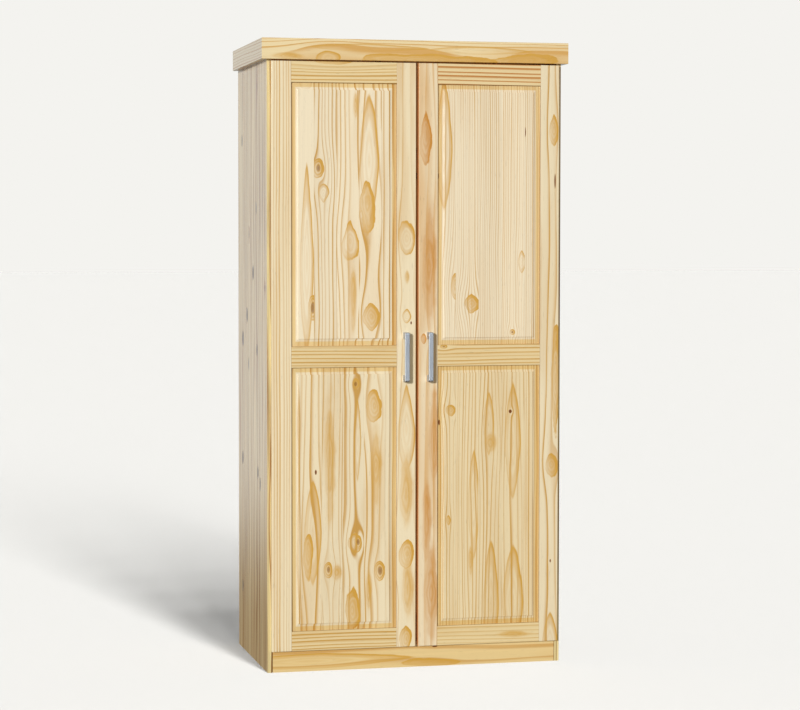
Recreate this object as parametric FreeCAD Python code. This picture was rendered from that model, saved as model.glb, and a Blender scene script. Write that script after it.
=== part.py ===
import FreeCAD, Part
import os
from FreeCAD import Vector

os.makedirs("parts", exist_ok=True)

# Pine wardrobe with two doors. Millimetres, +Z up, the doors face -Y.
# The origin is at floor level, in the middle of the overall width and depth.

# ---------------------------------------------------------------- overall sizes
HEIGHT = 1900.0
CARCASS_WIDTH = 915.0
CARCASS_DEPTH = 500.0
SIDE_THICK = 14.0
BOARD_THICK = 16.0
SIDE_TOP_DROP = 10.0        # the side panels end this far below the crown's top

# ---------------------------------------------------------------- crown
CROWN_HEIGHT = 63.0
CROWN_THICK = 18.0
CROWN_BACK_SHORT = 7.0      # the crown ends this far ahead of the back
CROWN_ROUND = 1.5
ROOF_DROP = 24.0            # depth of the tray on top, inside the crown

# ---------------------------------------------------------------- floor and plinth
PLINTH_HEIGHT = 62.0
PLINTH_THICK = 16.0
PLINTH_RECESS = 1.0
PLINTH_END_GAP = 1.5
FLOOR_SETBACK = 1.5         # the floor's front edge, clear of the turning doors

# ---------------------------------------------------------------- back
BACK_THICK = 3.0
BACK_REBATE_DEEP = 4.0
BACK_REBATE_WIDE = 8.0
STRIP_WIDE = 18.0
STRIP_WALL = 0.8
STRIP_WEB = 1.8

# ---------------------------------------------------------------- inside fittings
SHELF_UNDER = 1560.0
SHELF_FRONT_SETBACK = 25.0
SHELF_SIDE_GAP = 1.0
SHELF_PIN_RADIUS = 2.5
SHELF_PIN_HOLE = 8.0
SHELF_PIN_REACH = 9.0
RAIL_HEIGHT = 1500.0
RAIL_RADIUS = 12.5
RAIL_WALL = 1.5
SOCKET_FLANGE_RADIUS = 24.0
SOCKET_FLANGE_THICK = 3.0
SOCKET_RING_RADIUS = 16.0
SOCKET_LENGTH = 15.0
SOCKET_SCREW_SPACING = 39.0

# ---------------------------------------------------------------- doors
DOOR_THICK = 18.0
DOOR_GAP_BEHIND = 1.5       # between a shut door and the side panels' front edges
DOOR_OVERLAP = 3.5          # a door covers this much of the side panel's edge
DOOR_BOTTOM = 66.0
DOOR_TOP = 1832.0
DOOR_MIDDLE_GAP = 8.0
DOOR_EDGE_ROUND = 2.0
DOOR_HINGE_ROUND = 2.8      # back edge at the hinge side, so that it turns clear
STILE_WIDE = 60.0
TOP_RAIL_WIDE = 63.0
BOTTOM_RAIL_WIDE = 60.0
MIDDLE_RAIL_UNDER = 918.0
MIDDLE_RAIL_WIDE = 65.0
FRAME_EASE = 0.6
GROOVE_WIDE = 6.0
GROOVE_DEEP = 10.0
GROOVE_SETBACK = 6.0        # from the door's front to the groove
PANEL_TONGUE = 8.0
PANEL_BACK_SETBACK = 13.0   # from the door's front to the panel's back
FIELD_SETBACK = 1.2         # from the door's front to the raised field
FIELD_BORDER = 21.5         # width of the cove round the raised field
FIELD_STEP = 1.6            # upright step at the field's edge
COVE_FLAT = 3.0             # flat land between the frame and the cove

# ---------------------------------------------------------------- handles
HANDLE_FROM_MIDDLE = 37.0
HANDLE_HEIGHT = 947.0
HANDLE_LENGTH = 150.0
HANDLE_WIDE = 14.0
HANDLE_REACH = 28.0
HANDLE_BAR_THICK = 7.0
HANDLE_LEG = 20.0
HANDLE_OUTER_ROUND = 6.0
HANDLE_INNER_ROUND = 5.0
HANDLE_BAR_EDGE_ROUND = 1.5
HANDLE_SCREW_SPACING = 128.0
HANDLE_SCREW_RADIUS = 2.0
HANDLE_SCREW_BITE = 10.0
HANDLE_HEAD_RADIUS = 4.5
HANDLE_HEAD_THICK = 2.4

# ---------------------------------------------------------------- hinges
HINGE_HEIGHTS = (166.0, 949.0, 1732.0)
HINGE_AXIS_INWARD = 5.0     # from the side panel's inner face to the hinge axis
CUP_RADIUS = 17.5
CUP_EDGE = 3.0              # wood between the cup and the door's outer edge
CUP_DEEP = 13.0
CUP_WALL = 0.8
FLANGE_THICK = 1.0
FLANGE_HALF_HEIGHT = 30.0
FLANGE_INNER = 19.0         # the flange reaches this far inward of the cup's centre
CUP_SCREW_INNER = 9.5
CUP_SCREW_SPACING = 48.0
PIN_RADIUS = 1.3
PIN_CLEARANCE = 0.05
PIN_HALF_LENGTH = 11.2
EYE_RADIUS = 2.6
ARM_HALF_WIDTH = 6.0
ARM_WALL = 1.5
ARM_FOOT = -2.5             # height of the arm's foot above the hinge axis
PLATE_BASE_THICK = 2.0
PLATE_CENTRE = 37.0         # from the side panel's front edge to the plate's screws
PLATE_HALF_DEEP = 8.0
PLATE_HALF_HEIGHT = 24.0
PLATE_SCREW_SPACING = 32.0
SADDLE_THICK = 5.0
SADDLE_HALF_DEEP = 14.0
SADDLE_HALF_WIDTH = 4.4

# ---------------------------------------------------------------- fasteners
DOWEL_RADIUS = 4.0
DOWEL_LENGTH = 30.0
DOWEL_IN_SIDE = 9.0
CAM_RADIUS = 7.5
CAM_DEEP = 12.0
CAM_FROM_END = 24.0
CAM_BOLT_RADIUS = 3.0
FRONT_JOINT = 60.0          # dowels stand this far from the front and back edges
CAM_FROM_DOWEL = 40.0
NAIL_RADIUS = 0.8
NAIL_LENGTH = 15.0
NAIL_HEAD_RADIUS = 2.0
NAIL_HEAD_THICK = 0.8
CROWN_SCREW_HEIGHT = 1850.0
CROWN_SCREW_LENGTH = 28.0
WOOD_SCREW_RADIUS = 1.8
WOOD_SCREW_HEAD_RADIUS = 3.5
WOOD_SCREW_HEAD_THICK = 1.8
WOOD_SCREW_BITE = 11.0

# ---------------------------------------------------------------- derived planes
DOOR_STANDOFF = DOOR_GAP_BEHIND + DOOR_THICK
FRONT = (DOOR_STANDOFF + HANDLE_REACH - CARCASS_DEPTH) / 2    # side panels' front
BACK = FRONT + CARCASS_DEPTH
BACK_FACE = BACK - BACK_REBATE_DEEP                           # front of the back
OUTER = CARCASS_WIDTH / 2
INNER = OUTER - SIDE_THICK
CROWN_UNDER = HEIGHT - CROWN_HEIGHT
CROWN_OUTER = OUTER + CROWN_THICK
ROOF_TOP = HEIGHT - ROOF_DROP
ROOF_UNDER = ROOF_TOP - BOARD_THICK
FLOOR_TOP = PLINTH_HEIGHT + BOARD_THICK
DOOR_FRONT = FRONT - DOOR_STANDOFF
DOOR_BACK = FRONT - DOOR_GAP_BEHIND
DOOR_OUTER = INNER + DOOR_OVERLAP
DOOR_INNER = DOOR_MIDDLE_GAP / 2
OPENING_OUTER = DOOR_OUTER - STILE_WIDE
OPENING_INNER = DOOR_INNER + STILE_WIDE
TOP_RAIL_UNDER = DOOR_TOP - TOP_RAIL_WIDE
MIDDLE_RAIL_TOP = MIDDLE_RAIL_UNDER + MIDDLE_RAIL_WIDE
BOTTOM_RAIL_TOP = DOOR_BOTTOM + BOTTOM_RAIL_WIDE
GROOVE_FRONT = DOOR_FRONT + GROOVE_SETBACK
GROOVE_BACK = GROOVE_FRONT + GROOVE_WIDE
AXIS_X = INNER - HINGE_AXIS_INWARD
AXIS_Y = DOOR_FRONT + DOOR_THICK / 2
CUP_X = DOOR_OUTER - CUP_EDGE - CUP_RADIUS
MIDDLE_Y = (FRONT + BACK_FACE) / 2
PLATE_Y = FRONT + PLATE_CENTRE
DOWEL_YS = (FRONT + FRONT_JOINT, BACK_FACE - FRONT_JOINT)
CAM_YS = (DOWEL_YS[0] + CAM_FROM_DOWEL, DOWEL_YS[1] - CAM_FROM_DOWEL)
DOWEL_XS_FRONT = (-300.0, 0.0, 300.0)
NAIL_XS = (60.0, 220.0, 400.0)
NAIL_ZS = (250.0, 620.0, 990.0, 1360.0, 1730.0)
CROWN_SCREW_YS = (FRONT + 70.0, MIDDLE_Y, BACK - 70.0)


# ---------------------------------------------------------------- small helpers
def box(x0, x1, y0, y1, z0, z1):
    return Part.makeBox(x1 - x0, y1 - y0, z1 - z0, Vector(x0, y0, z0))


def rod(radius, start, end):
    start, end = Vector(*start), Vector(*end)
    return Part.makeCylinder(radius, (end - start).Length, start, end - start)


def cone(radius0, radius1, start, end):
    start, end = Vector(*start), Vector(*end)
    return Part.makeCone(radius0, radius1, (end - start).Length, start, end - start)


def prism(outline, travel):
    """Solid swept along travel from a closed outline of corner points."""
    points = [Vector(*point) for point in outline]
    return Part.Face(Part.makePolygon(points + points[:1])).extrude(Vector(*travel))


def mirrored(shape):
    """The same piece on the other side of the wardrobe."""
    return shape.mirror(Vector(0, 0, 0), Vector(1, 0, 0))


def rounded(shape, radius, chosen):
    """Round the edges whose middle point satisfies chosen."""
    edges = [edge for edge in shape.Edges if chosen(edge.CenterOfMass)]
    return shape.makeFillet(radius, edges)


def near(a, b):
    return abs(a - b) < 0.01


def wood_screw(head, direction, length):
    """Countersunk screw: head is the middle of its flat face."""
    head, direction = Vector(*head), Vector(*direction)
    under_head = head + direction * WOOD_SCREW_HEAD_THICK
    tip = head + direction * length
    return cone(WOOD_SCREW_HEAD_RADIUS, WOOD_SCREW_RADIUS, head, under_head).fuse(
        rod(WOOD_SCREW_RADIUS, under_head, tip))


def save(name, *solids):
    """Write one node; several solids stay separate inside it."""
    shape = solids[0] if len(solids) == 1 else Part.makeCompound(list(solids))
    shape.exportStep("parts/" + name + ".step")


# ---------------------------------------------------------------- fasteners
def side_dowels():
    """Dowels between the left side panel and the floor and roof boards."""
    heights = (PLINTH_HEIGHT + BOARD_THICK / 2, ROOF_UNDER + BOARD_THICK / 2)
    start = -INNER - DOWEL_IN_SIDE
    return [rod(DOWEL_RADIUS, (start, y, z), (start + DOWEL_LENGTH, y, z))
            for z in heights for y in DOWEL_YS]


def front_dowels():
    """Dowels from the plinth into the floor and from the crown into the roof."""
    plinth_y = FRONT + PLINTH_RECESS + PLINTH_THICK / 2
    roof_z = ROOF_UNDER + BOARD_THICK / 2
    dowels = []
    for x in DOWEL_XS_FRONT:
        dowels.append(rod(DOWEL_RADIUS, (x, plinth_y, PLINTH_HEIGHT - 18),
                          (x, plinth_y, PLINTH_HEIGHT + 12)))
        dowels.append(rod(DOWEL_RADIUS, (x, FRONT - 12, roof_z), (x, FRONT + 18, roof_z)))
    return dowels


def cams():
    """Round cams let into the floor from below and into the roof from above."""
    x = -INNER + CAM_FROM_END
    return ([rod(CAM_RADIUS, (x, y, PLINTH_HEIGHT), (x, y, PLINTH_HEIGHT + CAM_DEEP))
             for y in CAM_YS]
            + [rod(CAM_RADIUS, (x, y, ROOF_TOP - CAM_DEEP), (x, y, ROOF_TOP))
               for y in CAM_YS])


def cam_bolts():
    """Bolts that the cams pull, screwed into the left side panel."""
    start = -INNER - DOWEL_IN_SIDE
    end = -INNER + CAM_FROM_END
    heights = (PLINTH_HEIGHT + BOARD_THICK / 2, ROOF_UNDER + BOARD_THICK / 2)
    bolts = [rod(CAM_BOLT_RADIUS, (start, y, z), (end, y, z))
             for z in heights for y in CAM_YS]
    return [bolt.cut(Part.makeCompound(cams())) for bolt in bolts]


def nail(x, z):
    head_end = BACK_FACE + BACK_THICK + NAIL_HEAD_THICK
    under_head = BACK_FACE + BACK_THICK
    shank = rod(NAIL_RADIUS, (x, under_head - NAIL_LENGTH, z), (x, under_head, z))
    head = rod(NAIL_HEAD_RADIUS, (x, under_head, z), (x, head_end, z))
    return shank.fuse(head)


def nails():
    """Panel nails of the left half, into the side, the floor and the roof."""
    side_x = -INNER - BACK_REBATE_WIDE / 2
    found = [nail(side_x, z) for z in NAIL_ZS]
    for x in NAIL_XS:
        found.append(nail(-x, PLINTH_HEIGHT + BOARD_THICK / 2))
        found.append(nail(-x, ROOF_UNDER + BOARD_THICK / 2))
    return found


def crown_screws():
    """Screws from inside the left side panel into the crown's side board."""
    return [wood_screw((-INNER, y, CROWN_SCREW_HEIGHT), (-1, 0, 0), CROWN_SCREW_LENGTH)
            for y in CROWN_SCREW_YS]


def shelf_pins():
    z = SHELF_UNDER - SHELF_PIN_RADIUS
    return [rod(SHELF_PIN_RADIUS, (-INNER - SHELF_PIN_HOLE, y, z),
                (-INNER + SHELF_PIN_REACH, y, z)) for y in DOWEL_YS]


def socket_screws():
    half = SOCKET_SCREW_SPACING / 2
    return [wood_screw((-INNER + SOCKET_FLANGE_THICK, MIDDLE_Y, RAIL_HEIGHT + dz),
                       (-1, 0, 0), WOOD_SCREW_BITE + SOCKET_FLANGE_THICK)
            for dz in (-half, half)]


def plate_screws():
    half = PLATE_SCREW_SPACING / 2
    return [wood_screw((-INNER + PLATE_BASE_THICK, PLATE_Y, z + dz), (-1, 0, 0),
                       WOOD_SCREW_BITE + PLATE_BASE_THICK)
            for z in HINGE_HEIGHTS for dz in (-half, half)]


def cup_screws():
    half = CUP_SCREW_SPACING / 2
    x = -CUP_X + CUP_SCREW_INNER
    return [wood_screw((x, DOOR_BACK + FLANGE_THICK, z + dz), (0, -1, 0),
                       WOOD_SCREW_BITE + FLANGE_THICK)
            for z in HINGE_HEIGHTS for dz in (-half, half)]


def handle_screws():
    half = HANDLE_SCREW_SPACING / 2
    x = -HANDLE_FROM_MIDDLE
    screws = []
    for z in (HANDLE_HEIGHT - half, HANDLE_HEIGHT + half):
        shank = rod(HANDLE_SCREW_RADIUS, (x, DOOR_FRONT - HANDLE_SCREW_BITE, z),
                    (x, DOOR_BACK, z))
        head = rod(HANDLE_HEAD_RADIUS, (x, DOOR_BACK, z),
                   (x, DOOR_BACK + HANDLE_HEAD_THICK, z))
        head = rounded(head, 1.5, lambda p: near(p.y, DOOR_BACK + HANDLE_HEAD_THICK))
        screws.append(shank.fuse(head))
    return screws


# ---------------------------------------------------------------- carcass
def side_panel():
    """Left side panel, rebated behind for the back and bored for its fasteners."""
    panel = box(-OUTER, -INNER, FRONT, BACK, 0, HEIGHT - SIDE_TOP_DROP)
    panel = rounded(panel, FRAME_EASE,
                    lambda p: near(p.y, FRONT) and p.z > 100 and p.z < HEIGHT - 100)
    rebate = box(-INNER - BACK_REBATE_WIDE, -INNER, BACK_FACE, BACK, 0, HEIGHT)
    bores = (side_dowels() + cam_bolts() + nails() + crown_screws() + shelf_pins()
             + socket_screws() + plate_screws())
    return panel.cut(rebate).cut(Part.makeCompound(bores))


def across(z0, z1, setback):
    """Board between the side panels, reaching the back."""
    return box(-INNER, INNER, FRONT + setback, BACK_FACE, z0, z1)


def both_sides(make):
    """The solids of one side and their mirror images on the other."""
    left = make()
    return left + [mirrored(solid) for solid in left]


def bored(board):
    """Board with the holes of every fastener that enters it."""
    fasteners = (both_sides(side_dowels) + both_sides(cams) + both_sides(cam_bolts)
                 + both_sides(nails) + both_sides(crown_screws) + front_dowels())
    return board.cut(Part.makeCompound(fasteners))


def plinth_board():
    half = INNER - PLINTH_END_GAP
    y0 = FRONT + PLINTH_RECESS
    board = box(-half, half, y0, y0 + PLINTH_THICK, 0, PLINTH_HEIGHT)
    return rounded(board, FRAME_EASE, lambda p: near(p.y, y0) and near(p.z, PLINTH_HEIGHT))


def crown_front_board():
    """Front board of the crown, mitred at both corners."""
    y0 = FRONT - CROWN_THICK
    outline = [(-CROWN_OUTER, y0, CROWN_UNDER), (CROWN_OUTER, y0, CROWN_UNDER),
               (OUTER, FRONT, CROWN_UNDER), (-OUTER, FRONT, CROWN_UNDER)]
    board = prism(outline, (0, 0, CROWN_HEIGHT))
    return rounded(board, CROWN_ROUND, lambda p: near(p.y, y0) and near(p.x, 0))


def crown_left_board():
    y0 = FRONT - CROWN_THICK
    y1 = BACK - CROWN_BACK_SHORT
    outline = [(-CROWN_OUTER, y0, CROWN_UNDER), (-OUTER, FRONT, CROWN_UNDER),
               (-OUTER, y1, CROWN_UNDER), (-CROWN_OUTER, y1, CROWN_UNDER)]
    board = prism(outline, (0, 0, CROWN_HEIGHT))
    return rounded(board, CROWN_ROUND,
                   lambda p: near(p.x, -CROWN_OUTER) and y0 + 10 < p.y < y1 - 10)


def back_panel_left():
    panel = box(-INNER - BACK_REBATE_WIDE + 0.5, -STRIP_WEB / 2,
                BACK_FACE, BACK_FACE + BACK_THICK, PLINTH_HEIGHT, ROOF_TOP)
    return panel.cut(Part.makeCompound(nails()))


def back_joint_strip():
    """H-shaped strip that joins the two halves of the back."""
    z0, z1 = FLOOR_TOP + 2, ROOF_UNDER - 2
    half = STRIP_WIDE / 2
    rear = BACK_FACE + BACK_THICK
    web = box(-STRIP_WEB / 2, STRIP_WEB / 2, BACK_FACE, rear, z0, z1)
    inner_flange = box(-half, half, BACK_FACE - STRIP_WALL, BACK_FACE, z0, z1)
    outer_flange = box(-half, half, rear, rear + STRIP_WALL, z0, z1)
    return web.fuse([inner_flange, outer_flange]).removeSplitter()


def hat_shelf():
    half = INNER - SHELF_SIDE_GAP
    shelf = box(-half, half, FRONT + SHELF_FRONT_SETBACK, BACK_FACE - 2,
                SHELF_UNDER, SHELF_UNDER + BOARD_THICK)
    return rounded(shelf, 1.0, lambda p: near(p.y, FRONT + SHELF_FRONT_SETBACK)
                   and near(p.x, 0))


def hanging_rail():
    start = (-INNER + SOCKET_FLANGE_THICK, MIDDLE_Y, RAIL_HEIGHT)
    end = (INNER - SOCKET_FLANGE_THICK, MIDDLE_Y, RAIL_HEIGHT)
    return rod(RAIL_RADIUS, start, end).cut(rod(RAIL_RADIUS - RAIL_WALL, start, end))


def rail_socket():
    """Left socket: a screwed flange with a ring that holds the rail's end."""
    x0 = -INNER
    x1 = x0 + SOCKET_FLANGE_THICK
    flange = rod(SOCKET_FLANGE_RADIUS, (x0, MIDDLE_Y, RAIL_HEIGHT),
                 (x1, MIDDLE_Y, RAIL_HEIGHT))
    ring = rod(SOCKET_RING_RADIUS, (x1, MIDDLE_Y, RAIL_HEIGHT),
               (x0 + SOCKET_LENGTH, MIDDLE_Y, RAIL_HEIGHT))
    ring = ring.cut(rod(RAIL_RADIUS, (x1, MIDDLE_Y, RAIL_HEIGHT),
                        (x0 + SOCKET_LENGTH, MIDDLE_Y, RAIL_HEIGHT)))
    return flange.fuse(ring).cut(Part.makeCompound(socket_screws()))


# ---------------------------------------------------------------- doors
def door_blank():
    """Whole left door as one rounded slab, which the frame pieces are kept inside."""
    slab = box(-DOOR_OUTER, -DOOR_INNER, DOOR_FRONT, DOOR_BACK, DOOR_BOTTOM, DOOR_TOP)
    slab = rounded(slab, DOOR_EDGE_ROUND, lambda p: near(p.y, DOOR_FRONT))
    return rounded(slab, DOOR_HINGE_ROUND,
                   lambda p: near(p.y, DOOR_BACK) and near(p.x, -DOOR_OUTER))


def panel_groove(x0, x1, z0, z1):
    return box(x0, x1, GROOVE_FRONT, GROOVE_BACK, z0, z1)


def stile(x_outer, x_inner):
    """Upright of the left door; x_inner is the edge with the groove."""
    x0, x1 = min(x_outer, x_inner), max(x_outer, x_inner)
    piece = box(x0, x1, DOOR_FRONT, DOOR_BACK, DOOR_BOTTOM, DOOR_TOP)
    piece = rounded(piece, FRAME_EASE, lambda p: near(p.x, x_inner)
                    and near(p.y, DOOR_FRONT))
    groove_end = x_inner + (GROOVE_DEEP if x_outer > x_inner else -GROOVE_DEEP)
    groove = panel_groove(min(groove_end, x_inner), max(groove_end, x_inner),
                          DOOR_BOTTOM, DOOR_TOP)
    return piece.cut(groove).common(door_blank())


def outer_stile():
    """Hinge-side upright with the cup holes and their screw holes."""
    holes = [rod(CUP_RADIUS, (-CUP_X, DOOR_BACK - CUP_DEEP, z), (-CUP_X, DOOR_BACK, z))
             for z in HINGE_HEIGHTS]
    return stile(-DOOR_OUTER, -OPENING_OUTER).cut(Part.makeCompound(holes + cup_screws()))


def inner_stile():
    """Upright at the middle of the wardrobe, bored for the handle's screws."""
    return stile(-DOOR_INNER, -OPENING_INNER).cut(Part.makeCompound(handle_screws()))


def rail(z0, z1, groove_below, groove_above):
    """Cross rail of the left door with a tongue at both ends."""
    x0, x1 = -OPENING_OUTER, -OPENING_INNER
    piece = box(x0, x1, DOOR_FRONT, DOOR_BACK, z0, z1)
    piece = rounded(piece, FRAME_EASE, lambda p: near(p.y, DOOR_FRONT)
                    and near(p.x, (x0 + x1) / 2))
    piece = piece.fuse(panel_groove(x0 - GROOVE_DEEP, x1 + GROOVE_DEEP, z0, z1))
    if groove_below:
        piece = piece.cut(panel_groove(x0 - 20, x1 + 20, z0, z0 + GROOVE_DEEP))
    if groove_above:
        piece = piece.cut(panel_groove(x0 - 20, x1 + 20, z1 - GROOVE_DEEP, z1))
    return piece.common(door_blank())


def cove_cutter_outline():
    """Cross-section cut from one edge of a panel: (inward, from the front) points."""
    field_y = DOOR_FRONT + FIELD_SETBACK
    land_y = GROOVE_FRONT
    cove_top_y = field_y + FIELD_STEP
    steps = ((0.0, 0.0), (0.45, 0.10), (0.75, 0.36), (0.92, 0.68), (1.0, 1.0))
    run = FIELD_BORDER - COVE_FLAT
    rise = land_y - cove_top_y
    cove = [(COVE_FLAT + run * a, land_y - rise * b) for a, b in steps]
    return ([(-PANEL_TONGUE, land_y)] + cove
            + [(FIELD_BORDER, DOOR_FRONT), (-PANEL_TONGUE, DOOR_FRONT)])


def panel(z0, z1):
    """Raised panel of the left door, coved all round and tongued into the frame."""
    x0, x1 = -OPENING_OUTER, -OPENING_INNER
    t = PANEL_TONGUE
    blank = box(x0 - t, x1 + t, DOOR_FRONT + FIELD_SETBACK,
                DOOR_FRONT + PANEL_BACK_SETBACK, z0 - t, z1 + t)
    section = cove_cutter_outline()
    width, height = x1 - x0 + 2 * t, z1 - z0 + 2 * t
    cutters = [prism([(x0 + n, y, z0 - t) for n, y in section], (0, 0, height)),
               prism([(x1 - n, y, z0 - t) for n, y in section], (0, 0, height)),
               prism([(x0 - t, y, z0 + n) for n, y in section], (width, 0, 0)),
               prism([(x0 - t, y, z1 - n) for n, y in section], (width, 0, 0))]
    for cutter in cutters:
        blank = blank.cut(cutter)
    opening = box(x0, x1, DOOR_FRONT, DOOR_BACK, z0, z1)
    tongue = panel_groove(x0 - t, x1 + t, z0 - t, z1 + t)
    return blank.common(opening.fuse(tongue)).removeSplitter()


def handle():
    """Bow handle of the left door: a flat bar on two solid legs."""
    x0 = -HANDLE_FROM_MIDDLE - HANDLE_WIDE / 2
    x1 = x0 + HANDLE_WIDE
    y0 = DOOR_FRONT - HANDLE_REACH
    y1 = y0 + HANDLE_BAR_THICK
    z0 = HANDLE_HEIGHT - HANDLE_LENGTH / 2
    z1 = z0 + HANDLE_LENGTH
    bow = box(x0, x1, y0, DOOR_FRONT, z0, z1).cut(
        box(x0, x1, y1, DOOR_FRONT, z0 + HANDLE_LEG, z1 - HANDLE_LEG))
    bow = rounded(bow, HANDLE_INNER_ROUND,
                  lambda p: near(p.y, y1) and near(p.x, (x0 + x1) / 2))
    bow = rounded(bow, HANDLE_OUTER_ROUND,
                  lambda p: near(p.y, y0) and near(p.x, (x0 + x1) / 2))
    bow = rounded(bow, HANDLE_BAR_EDGE_ROUND, lambda p: near(p.y, y0)
                  and (near(p.x, x0) or near(p.x, x1)))
    return bow.cut(Part.makeCompound(handle_screws()))


# ---------------------------------------------------------------- hinges
def hinge_pin(z):
    return rod(PIN_RADIUS, (-AXIS_X, AXIS_Y, z - PIN_HALF_LENGTH),
               (-AXIS_X, AXIS_Y, z + PIN_HALF_LENGTH))


def hinge_cup(z):
    """Pressed cup in the door with a flange for its two screws."""
    bottom = DOOR_BACK - CUP_DEEP
    bore_radius = CUP_RADIUS - CUP_WALL
    shell = rod(CUP_RADIUS, (-CUP_X, bottom, z), (-CUP_X, DOOR_BACK, z))
    flange = box(-CUP_X - 4, -CUP_X + FLANGE_INNER, DOOR_BACK, DOOR_BACK + FLANGE_THICK,
                 z - FLANGE_HALF_HEIGHT, z + FLANGE_HALF_HEIGHT)
    hollow = rod(bore_radius, (-CUP_X, bottom + CUP_WALL, z), (-CUP_X, FRONT + 5, z))
    return shell.fuse(flange).cut(hollow).cut(
        Part.makeCompound(cup_screws() + [hinge_pin(z)]))


def hinge_arm(z):
    """Cranked arm: its eye turns on the cup's pin, its foot sits on the plate."""
    ax, ay = -AXIS_X, AXIS_Y
    z0 = z - ARM_HALF_WIDTH
    outline = [(0, -1.2), (13.2, -1.2), (14.7, 0.3), (14.7, 22), (8.5, 32), (8.5, 61),
               (ARM_FOOT, 61), (ARM_FOOT, 12.9), (12.3, 12.9), (12.3, 1.2), (0, 1.2)]
    arm = prism([(ax + x, ay + y, z0) for x, y in outline], (0, 0, 2 * ARM_HALF_WIDTH))
    eye = rod(EYE_RADIUS, (ax, ay, z0), (ax, ay, z0 + 2 * ARM_HALF_WIDTH))
    pin_hole = rod(PIN_RADIUS + PIN_CLEARANCE, (ax, ay, z0),
                   (ax, ay, z0 + 2 * ARM_HALF_WIDTH))
    half = ARM_HALF_WIDTH - ARM_WALL
    channel = box(ax + ARM_FOOT, ax + 8.5 - ARM_WALL, ay + 16, ay + 61, z - half, z + half)
    return arm.fuse(eye).cut(pin_hole).cut(channel).cut(arm_screw(z))


def arm_screw(z):
    """Screw that clamps the arm on its plate."""
    arm_top = -AXIS_X + 8.5
    shank = rod(2.5, (-INNER + PLATE_BASE_THICK, PLATE_Y, z), (arm_top, PLATE_Y, z))
    head = rod(4.5, (arm_top, PLATE_Y, z), (arm_top + 2.5, PLATE_Y, z))
    return shank.fuse(head)


def hinge_plate(z):
    """Mounting plate: two screwed wings and a raised saddle inside the arm."""
    x0 = -INNER
    x1 = x0 + PLATE_BASE_THICK
    wings = box(x0, x1, PLATE_Y - PLATE_HALF_DEEP, PLATE_Y + PLATE_HALF_DEEP,
                z - PLATE_HALF_HEIGHT, z + PLATE_HALF_HEIGHT)
    saddle = box(x0, x1 + SADDLE_THICK, PLATE_Y - SADDLE_HALF_DEEP,
                 PLATE_Y + SADDLE_HALF_DEEP, z - SADDLE_HALF_WIDTH,
                 z + SADDLE_HALF_WIDTH)
    return wings.fuse(saddle).cut(Part.makeCompound(plate_screws() + [arm_screw(z)]))


# ---------------------------------------------------------------- write the nodes
def save_pair(name, solids):
    """The left node and its mirror image as the right node."""
    save("left_" + name, *solids)
    save("right_" + name, *[mirrored(solid) for solid in solids])


def save_carcass():
    save_pair("side_panel", [side_panel()])
    save("floor_board", bored(across(PLINTH_HEIGHT, FLOOR_TOP, FLOOR_SETBACK)))
    save("roof_board", bored(across(ROOF_UNDER, ROOF_TOP, 0)))
    save("plinth_board", bored(plinth_board()))
    save("crown_front_board", bored(crown_front_board()))
    save_pair("crown_board", [bored(crown_left_board())])
    save_pair("back_panel", [back_panel_left()])
    save("back_joint_strip", back_joint_strip())
    save("hat_shelf", hat_shelf())
    save("hanging_rail", hanging_rail())
    save_pair("rail_socket", [rail_socket()])
    save("rail_socket_screws", *both_sides(socket_screws))
    save("shelf_pins", *both_sides(shelf_pins))
    save("cam_discs", *both_sides(lambda: [cam.cut(Part.makeCompound(cam_bolts()))
                                           for cam in cams()]))
    save("cam_bolts", *both_sides(cam_bolts))
    save("connecting_dowels", *both_sides(side_dowels), *front_dowels())
    save("back_panel_nails", *both_sides(nails))
    save("crown_screws", *both_sides(crown_screws))


def save_doors():
    save_pair("door_outer_stile", [outer_stile()])
    save_pair("door_inner_stile", [inner_stile()])
    save_pair("door_top_rail", [rail(TOP_RAIL_UNDER, DOOR_TOP, True, False)])
    save_pair("door_middle_rail", [rail(MIDDLE_RAIL_UNDER, MIDDLE_RAIL_TOP, True, True)])
    save_pair("door_bottom_rail", [rail(DOOR_BOTTOM, BOTTOM_RAIL_TOP, False, True)])
    save_pair("door_upper_panel", [panel(MIDDLE_RAIL_TOP, TOP_RAIL_UNDER)])
    save_pair("door_lower_panel", [panel(BOTTOM_RAIL_TOP, MIDDLE_RAIL_UNDER)])
    save_pair("door_handle", [handle()])
    save_pair("handle_screws", handle_screws())


def save_hinges():
    for place, z in zip(("bottom", "middle", "top"), HINGE_HEIGHTS):
        save_pair(place + "_hinge_cup", [hinge_cup(z)])
        save_pair(place + "_hinge_arm", [hinge_arm(z)])
    save_pair("hinge_pins", [hinge_pin(z) for z in HINGE_HEIGHTS])
    save_pair("hinge_plates", [hinge_plate(z) for z in HINGE_HEIGHTS])
    save_pair("cup_screws", cup_screws())
    save("plate_screws", *both_sides(plate_screws))
    save("arm_screws", *both_sides(lambda: [arm_screw(z) for z in HINGE_HEIGHTS]))


save_carcass()
save_doors()
save_hinges()
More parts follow.
